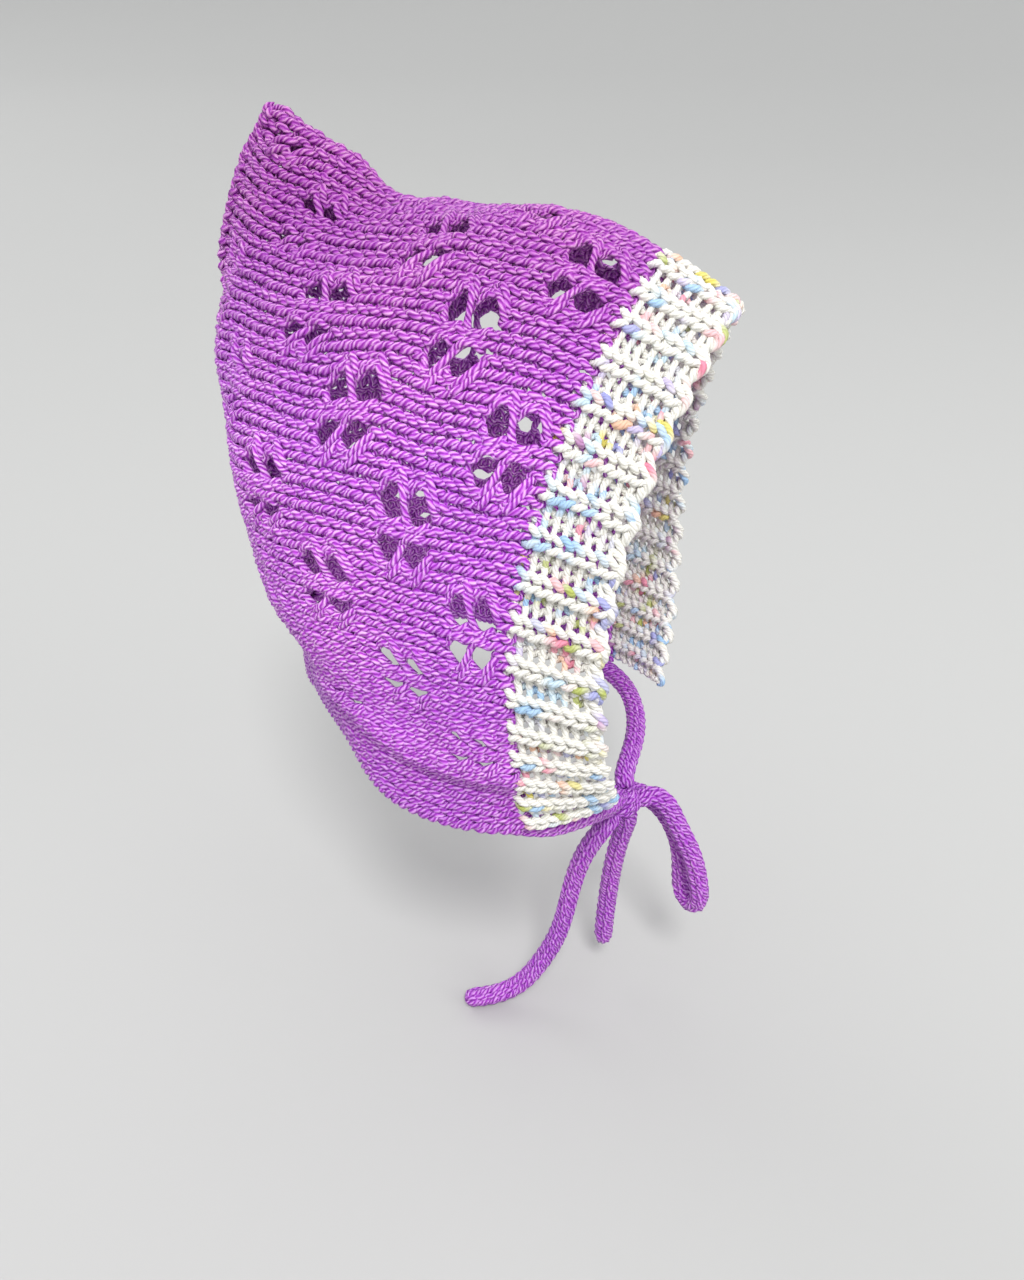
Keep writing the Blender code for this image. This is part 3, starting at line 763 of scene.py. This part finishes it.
def neckband_piece(name, material):
    """Four more wales on each side, and a chain along the lower edge."""
    yarns = Yarns()
    first = HOOD_STITCHES // 2 + 1
    for r in range(ROWS):
        for side in (-1, 1):
            wale, local, phase, dc, dr, dz = row_of_loops(first, first + NECK_WALES - 1, NECK_LOOP)
            width, lean, rise = uneven(wale - first, NECK_WALES, NECK_UNEVEN)
            head = (np.cos(phase) + 1) / 2
            dc = dc * (1 + width) + lean * head
            dr = dr + rise * head
            c, y = wale + dc, np.minimum(r + dr, LAST_ROW)
            points, normals = on_neckband(side * c, y, dz)
            start = start_of("neck_row", side) + NECK_ROW_STEP * r
            yarns.add(points, normals, YARN * plump(len(local)), start)
    r = np.linspace(CHAIN_FROM, ROWS, ROWS * CHAIN_STEPS)
    for side in (-1, 1):
        for strand in (0, 1):
            turn = TURN * r / CHAIN + math.pi * strand + wobble(len(r), CHAIN_UNEVEN, every=20)
            edge = side * (HOOD_STITCHES / 2 + NECK_WALES + CHAIN_AT + CHAIN_WIDE * np.sin(turn))
            points, normals = on_neckband(edge, r, CHAIN_THICK * np.cos(turn))
            yarns.add(points, normals, YARN, start_of("neck_edge", side) + NECK_STRAND_STEP * strand)
    return yarns.made(name, material)


# Ties


def smooth_line(path):
    """Points at even steps along the spline through the path."""
    path = np.array(path)
    knots = along(path)
    fine = spline(knots, path, np.linspace(0, knots[-1], LINE_FINE * len(path)))
    length = along(fine)
    wanted = np.linspace(0, length[-1], int(length[-1] / LINE_STEP) + 2)
    return read_along(wanted, length, fine)


def frames_along(line):
    """Two normals at each point of a line, turning as little as they can."""
    tangent = unit(np.gradient(line, axis=0))
    one = [unit(np.cross(tangent[0], ASKEW))]
    for t in tangent[1:]:
        one.append(unit(one[-1] - t * (one[-1] @ t)))
    one = np.array(one)
    return one, np.cross(tangent, one)


def icord(name, path, material, start, radius=CORD / 2, yarn=ICORD_YARN):
    """A knitted tube along the path: one yarn worked round and round. Also gives its line and length."""
    line = smooth_line(path)
    length = along(line)
    one, two = frames_along(line)
    rounds = length[-1] / ICORD_ROUND
    count = int(rounds * ICORD_AROUND)
    s = np.linspace(0, count, count * ICORD_STEPS + 1)
    local = s - np.round(s)
    phase = TURN * local
    turn = TURN * (np.round(s) + local + ICORD_LEAN * np.sin(2 * phase)) / ICORD_AROUND
    place = s / ICORD_AROUND * ICORD_ROUND + ICORD_TALL * ICORD_ROUND * np.cos(phase)
    middle = radius - yarn - ICORD_DEPTH
    out = middle - ICORD_DEPTH * np.cos(2 * phase)
    # rounded ends
    round_off = np.ones_like(place)
    for from_end in (place, length[-1] - place):
        inside = np.clip(1 - from_end / ICORD_END, 0, 1)
        round_off *= np.sqrt(np.clip(1 - inside**2, ICORD_LEAST, 1))
    out = out * round_off
    place = np.clip(place, ICORD_SHORT, length[-1] - ICORD_SHORT)
    a, b = read_along(place, length, one), read_along(place, length, two)
    outward = a * np.cos(turn)[:, None] + b * np.sin(turn)[:, None]
    yarns = Yarns()
    yarns.add(read_along(place, length, line) + outward * out[:, None], outward, yarn, start)
    return yarns.made(name, material), line, length[-1]


def into_knot(path, ends):
    """The path with its tied ends drawn on into the knot."""
    path = [np.array(point) for point in path]
    middle = np.array(KNOT_AT)
    if "first" in ends:
        path.insert(0, path[0] + unit(middle - path[0]) * INTO_KNOT)
    if "last" in ends:
        path.append(path[-1] + unit(middle - path[-1]) * INTO_KNOT)
    return path


def knot_path():
    """The turns of cord that make the knot, round an upright axis."""
    turns = np.linspace(KNOT_FIRST, KNOT_FIRST + KNOT_TURNS * TURN, KNOT_POINTS)
    x, y, z = KNOT_AT
    return [
        (x + KNOT_RADIUS * math.cos(a), y + KNOT_RADIUS * math.sin(a), z + KNOT_RISE * (a - turns.mean()))
        for a in turns
    ]


# Materials

SLACK = 1.4  # how unevenly the plies are twisted
SHARPNESS = 1.1  # of the grooves between them
FIBRE_HEIGHT = 0.45  # relief of the fibres against that of the plies
FIBRES = dict(across=7.0, along_it=0.35, detail=3.0)
STROKES = dict(across=0.9, along_it=0.22, detail=1.0)
DRIFT = dict(scale=22.0, detail=2.0)
FIBRES_SHOW = 0.8

# The purple yarn: colour from the groove between the plies to their ridge, with painted shade in the grooves
# and a painted highlight on the ridges, and tints that it is multiplied by
PURPLE_GROOVE_SHADE_RIDGE_HIGHLIGHT = (
    (0.00, (0.470, 0.028, 0.610)),
    (0.38, (0.630, 0.104, 0.760)),
    (0.74, (0.840, 0.310, 0.920)),
    (1.00, (0.980, 0.660, 0.995)),
)
PURPLE_FIBRES = ((0.30, (0.84, 0.62, 0.88)), (0.70, (1.0, 1.0, 1.0)))
PURPLE_STROKES = ((0.36, (0.80, 0.50, 0.88)), (0.60, (1.0, 1.0, 1.0)))
PURPLE_DRIFT = ((0.35, (0.88, 0.80, 0.96)), (0.65, (1.0, 1.0, 1.0)))
PEAK_TINT, PEAK_MOST = (0.50, 0.22, 0.38), 0.65
PEAK_BELOW, PEAK_OVER = 0.045, 0.075  # metres below the origin where the peak's tint begins, and its reach
TIES_TINT = (0.74, 0.66, 0.80)
TIES_FROM, TIES_OVER = -0.095, 0.050  # height in metres where the ties' tint begins, and its reach down

# The speckled yarn: each cell along it is white or has one dash of colour
CELL = 14.0  # length of a cell in millimetres
DASH_END = 0.22  # share of a cell over which a dash begins or ends
DASH_LATE, DASH_EARLY = 0.30, 0.35  # the most by which it begins late and ends early
WHITE = (0.86, 0.845, 0.80)
DASH_STRENGTH = (  # from a number drawn for the cell
    (0.40, (0, 0, 0)),
    (0.46, (0.26, 0.26, 0.26)),
    (0.62, (0.80, 0.80, 0.80)),
    (1.00, (0.96, 0.96, 0.96)),
)
DASH_COLOURS = (  # likewise: blues, violets, pinks, peach, yellow, green and plum
    (0.00, (0.36, 0.58, 0.86)), (0.24, (0.56, 0.74, 0.88)), (0.36, (0.32, 0.34, 0.74)),
    (0.45, (0.58, 0.50, 0.80)), (0.53, (0.80, 0.24, 0.36)), (0.62, (0.88, 0.52, 0.56)),
    (0.70, (0.88, 0.52, 0.36)), (0.76, (0.76, 0.66, 0.12)), (0.86, (0.44, 0.50, 0.10)),
    (0.93, (0.48, 0.22, 0.46)),
)
# painted shade: the white is darker and warmer in the grooves between the plies
WHITE_GROOVE_SHADE = ((0.0, (0.82, 0.80, 0.75)), (0.50, (0.98, 0.975, 0.96)), (1.0, (1.0, 1.0, 1.0)))


class Nodes:
    """The nodes of one new material."""

    def __init__(self, name):
        self.material = bpy.data.materials.new(name)
        self.material.use_nodes = True
        self.material.node_tree.nodes.clear()
        self.nodes, self.links = self.material.node_tree.nodes, self.material.node_tree.links

    def put(self, socket, value):
        """Sets a number or a colour on the socket, or links another node's output to it."""
        if isinstance(value, (int, float)):
            socket.default_value = value
        elif isinstance(value, tuple):
            socket.default_value = (*value, 1)
        else:
            self.links.new(value, socket)

    def maths(self, operation, *values, clamp=False):
        node = self.nodes.new("ShaderNodeMath")
        node.operation = operation
        node.use_clamp = clamp
        for socket, value in zip(node.inputs, values):
            self.put(socket, value)
        return node.outputs[0]

    def times(self, a, b):
        return self.maths("MULTIPLY", a, b)

    def mixed(self, mode, factor, a, b):
        node = self.nodes.new("ShaderNodeMix")
        node.data_type = "RGBA"
        node.blend_type = mode
        for socket, value in ((node.inputs[0], factor), (node.inputs[6], a), (node.inputs[7], b)):
            self.put(socket, value)
        return node.outputs[2]

    def ramp(self, factor, stops, interpolation="LINEAR"):
        node = self.nodes.new("ShaderNodeValToRGB")
        node.color_ramp.interpolation = interpolation
        elements = node.color_ramp.elements
        while len(elements) < len(stops):
            elements.new(0.5)
        for element, (position, colour) in zip(elements, stops):
            element.position = position
            element.color = (*colour, 1)
        self.put(node.inputs[0], factor)
        return node.outputs[0]

    def noise(self, place, scale, detail, dimensions="3D"):
        node = self.nodes.new("ShaderNodeTexNoise")
        node.noise_dimensions = dimensions
        node.inputs["Scale"].default_value = scale
        node.inputs["Detail"].default_value = detail
        self.put(node.inputs["W" if dimensions == "1D" else "Vector"], place)
        return node.outputs["Fac"]

    def together(self, x, y):
        node = self.nodes.new("ShaderNodeCombineXYZ")
        self.put(node.inputs[0], x)
        self.put(node.inputs[1], y)
        return node.outputs[0]

    def apart(self, vector):
        node = self.nodes.new("ShaderNodeSeparateXYZ")
        self.put(node.inputs[0], vector)
        return node.outputs

    def yarn_map(self):
        """Millimetres along the yarn, and the share of a turn round it."""
        node = self.nodes.new("ShaderNodeUVMap")
        node.uv_map = "yarn"
        u, v, _ = self.apart(node.outputs[0])
        return u, v

    def plies(self, u, v, count, spacing):
        """Height of the twisted plies, 0 in a groove and 1 on a ridge, and the coordinate across them."""
        slack = self.noise(u, scale=0.28, detail=1.0, dimensions="1D")
        phase = self.maths("ADD", self.times(v, count), self.maths("DIVIDE", u, spacing))
        phase = self.maths("ADD", phase, self.times(slack, SLACK))
        wave = self.maths("ABSOLUTE", self.maths("SINE", self.times(phase, math.pi)))
        return self.maths("POWER", wave, SHARPNESS), phase

    def twisted_noise(self, u, phase, across, along_it, detail):
        """Noise that follows the twist, with its scales across the plies and along the yarn."""
        place = self.together(self.times(phase, across), self.times(u, along_it))
        return self.noise(place, scale=1.0, detail=detail)

    def yarn_finish(self, colour, height, fibre, roughness, specular, bump):
        """The yarn's surface, raised by its plies and fibres by bump metres."""
        shader = self.nodes.new("ShaderNodeBsdfPrincipled")
        shader.inputs["Roughness"].default_value = roughness
        shader.inputs["Specular IOR Level"].default_value = specular
        self.put(shader.inputs["Base Color"], colour)
        node = self.nodes.new("ShaderNodeBump")
        node.inputs["Strength"].default_value = 1.0
        node.inputs["Distance"].default_value = bump
        self.put(node.inputs["Height"], self.maths("ADD", height, self.times(fibre, FIBRE_HEIGHT)))
        self.put(shader.inputs["Normal"], node.outputs[0])
        self.output(shader)

    def output(self, shader):
        node = self.nodes.new("ShaderNodeOutputMaterial")
        self.put(node.inputs[0], shader.outputs[0])


def purple_yarn():
    """Three shiny plies, with painted shade deeper in the grooves, a painted highlight on the ridges, and the
    colour drifting over the hat.
    """
    look = Nodes("purple_yarn")
    u, v = look.yarn_map()
    height, phase = look.plies(u, v, count=3, spacing=1.70)
    fibre = look.twisted_noise(u, phase, **FIBRES)
    # painted shade in the grooves between the plies and a painted highlight on their ridges
    colour, tint = look.ramp(height, PURPLE_GROOVE_SHADE_RIDGE_HIGHLIGHT), look.ramp(fibre, PURPLE_FIBRES)
    colour = look.mixed("MULTIPLY", FIBRES_SHOW, colour, tint)
    # some strokes of the twist are darker than others
    stroke = look.twisted_noise(u, phase, **STROKES)
    shade = look.ramp(stroke, PURPLE_STROKES)
    colour = look.mixed("MULTIPLY", 1.0, colour, shade)
    where = look.nodes.new("ShaderNodeTexCoord").outputs["Object"]
    drift = look.ramp(look.noise(where, **DRIFT), PURPLE_DRIFT)
    colour = look.mixed("MULTIPLY", 1.0, colour, drift)
    # deeper and redder towards the peak, and duller in the ties
    z = look.apart(where)[2]
    high = look.maths("DIVIDE", look.maths("ADD", z, PEAK_BELOW), PEAK_OVER, clamp=True)
    high = look.maths("MINIMUM", high, PEAK_MOST)
    colour = look.mixed("MULTIPLY", high, colour, PEAK_TINT)
    low = look.maths("DIVIDE", look.maths("SUBTRACT", TIES_FROM, z), TIES_OVER, clamp=True)
    colour = look.mixed("MULTIPLY", low, colour, TIES_TINT)
    look.yarn_finish(colour, height, fibre, roughness=0.34, specular=0.50, bump=0.00040)
    return look.material


def speckled_yarn():
    """Four white plies, with dashes of pastel colour along them and painted shade in the grooves between the
    plies.
    """
    look = Nodes("speckled_yarn")
    u, v = look.yarn_map()
    height, phase = look.plies(u, v, count=4, spacing=1.3)
    fibre = look.twisted_noise(u, phase, **FIBRES)
    scaled = look.maths("DIVIDE", u, CELL)
    cell = look.maths("FLOOR", scaled)
    within = look.maths("FRACT", scaled)
    chance = look.nodes.new("ShaderNodeTexWhiteNoise")
    chance.noise_dimensions = "1D"
    look.put(chance.inputs["W"], cell)
    three = look.nodes.new("ShaderNodeSeparateColor")
    look.put(three.inputs[0], chance.outputs["Color"])
    # each dash begins and ends softly at its own place within its cell
    first = look.times(three.outputs[0], DASH_LATE)
    last = look.maths("SUBTRACT", 1.0, look.times(three.outputs[1], DASH_EARLY))
    rise = look.maths("DIVIDE", look.maths("SUBTRACT", within, first), DASH_END, clamp=True)
    fall = look.maths("DIVIDE", look.maths("SUBTRACT", last, within), DASH_END, clamp=True)
    strong = look.ramp(three.outputs[2], DASH_STRENGTH)
    mask = look.times(look.times(rise, fall), strong)
    dash = look.ramp(chance.outputs["Value"], DASH_COLOURS, "CONSTANT")
    colour = look.mixed("MIX", mask, WHITE, dash)
    # painted shade in the grooves between the plies
    colour = look.mixed("MULTIPLY", 1.0, colour, look.ramp(height, WHITE_GROOVE_SHADE))
    look.yarn_finish(colour, height, fibre, roughness=0.50, specular=0.30, bump=0.00016)
    return look.material


def floor_material():
    look = Nodes("pale_floor")
    shader = look.nodes.new("ShaderNodeBsdfPrincipled")
    shader.inputs["Base Color"].default_value = (0.47, 0.47, 0.46, 1)
    shader.inputs["Roughness"].default_value = 0.9
    look.output(shader)
    return look.material


# Camera, floor and light: the floor and the lights in metres, the rest in millimetres, degrees and pixels

CAMERA_AT = np.array((-265.24, -86.18, 100.58))
CAMERA_TURN, CAMERA_DOWN = -72.0, 27.7
FOCAL_PX, IMAGE_WIDTH = 1027.0, 1024.0
SENSOR = 36.0
STAND_TOP = -175.3  # the level on which the long end's tip lies
FLOOR_BELOW = 0.0002
FLOOR_SIDES = 96
FLOOR_PROFILE = (  # radius and height of each ring
    (0.9, 0.0), (1.5, 0.01), (2.2, 0.05), (3.0, 0.14), (4.0, 0.36),
    (5.0, 0.76), (6.0, 1.5), (6.8, 2.6), (7.2, 4.2))
LIGHTS_AIM = (0, 0, -0.08)
LIGHTS = (  # name, place, size and power
    ("key", (-2.4, -1.12, 3.04), 1.05, 113),
    ("fill", (-1.0, -3.4, 1.5), 2.0, 24),
    ("back", (1.6, 2.9, 2.3), 2.4, 22),
)
SKY, SKY_STRENGTH = (0.97, 0.98, 1.0, 1), 1.1


def camera():
    data = bpy.data.cameras.new("camera")
    data.sensor_fit = "HORIZONTAL"
    data.sensor_width = SENSOR
    data.lens = SENSOR * FOCAL_PX / IMAGE_WIDTH
    data.clip_start = 0.01
    obj = placed("camera", data)
    obj.location = (CAMERA_AT - SEAT) * MM
    obj.rotation_euler = (math.radians(90 - CAMERA_DOWN), 0, math.radians(CAMERA_TURN))
    bpy.context.scene.camera = obj


def area_light(name, place, size, power):
    data = bpy.data.lights.new(name, "AREA")
    data.shape = "DISK"
    data.size = size
    data.energy = power
    obj = placed(name, data)
    obj.location = place
    direction = unit(np.array(LIGHTS_AIM) - np.array(place))
    obj.rotation_euler = (math.acos(-direction[2]), 0, math.atan2(direction[1], direction[0]) - math.pi / 2)
    obj.visible_camera = False


def floor():
    """A round floor that sweeps up into a low wall, so that no horizon shows."""
    around = FLOOR_SIDES
    level = (STAND_TOP - SEAT[2]) * MM - FLOOR_BELOW
    points = [(0.0, 0.0, level)]
    for radius, height in FLOOR_PROFILE:
        for k in range(around):
            turn = TURN * k / around
            points.append((radius * math.cos(turn), radius * math.sin(turn), level + height))
    faces = []
    for k in range(around):
        faces.append((0, 1 + k, 1 + (k + 1) % around))
        for i in range(len(FLOOR_PROFILE) - 1):
            a, b = 1 + i * around + k, 1 + i * around + (k + 1) % around
            faces.append((a, a + around, b + around, b))
    mesh = bpy.data.meshes.new("floor")
    mesh.from_pydata(points, [], faces)
    mesh.polygons.foreach_set("use_smooth", [True] * len(mesh.polygons))
    mesh.materials.append(floor_material())
    return placed("floor", mesh)


def stage():
    floor()
    world = bpy.data.worlds.new("world")
    world.use_nodes = True
    world.node_tree.nodes["Background"].inputs[0].default_value = SKY
    world.node_tree.nodes["Background"].inputs[1].default_value = SKY_STRENGTH
    bpy.context.scene.world = world
    for name, place, size, power in LIGHTS:
        area_light(name, place, size, power)


# Everything together

HOOD_PIECES = (  # name and rows
    ("hood_front_knit", range(0, 12)),
    ("hood_middle_knit", range(12, 24)),
    ("hood_back_knit", range(24, ROWS)),
)


def ties(purple):
    for name, path in PATHS.items():
        ends, start = TIED[name]
        piece, line, length = icord(name + "_knit", into_knot(path, ends), purple, start)
        route = [tuple((point - SEAT) * MM) for point in line[::ROUTE_STEP]]
        route.append(tuple((line[-1] - SEAT) * MM))
        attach(piece, "root")
        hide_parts(name)
    knot, _, _ = icord("bow_knot_knit", knot_path(), purple, start_of("knot"), KNOT_CORD, KNOT_YARN)
    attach(knot, "root")
    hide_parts("bow_knot")


def main():
    bpy.context.scene.view_settings.view_transform = "Standard"
    camera()
    stage()
    purple, speckled = purple_yarn(), speckled_yarn()
    ties(purple)
    for name, rows in HOOD_PIECES:
        piece = hood_piece(name, rows, purple)
        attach(piece, "root")
        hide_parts("hood")
    brim = brim_piece("brim_knit", speckled)
    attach(brim, "root")
    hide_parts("brim")
    neckband = neckband_piece("neckband_knit", purple)
    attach(neckband, "root")
    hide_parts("neckband")


main()
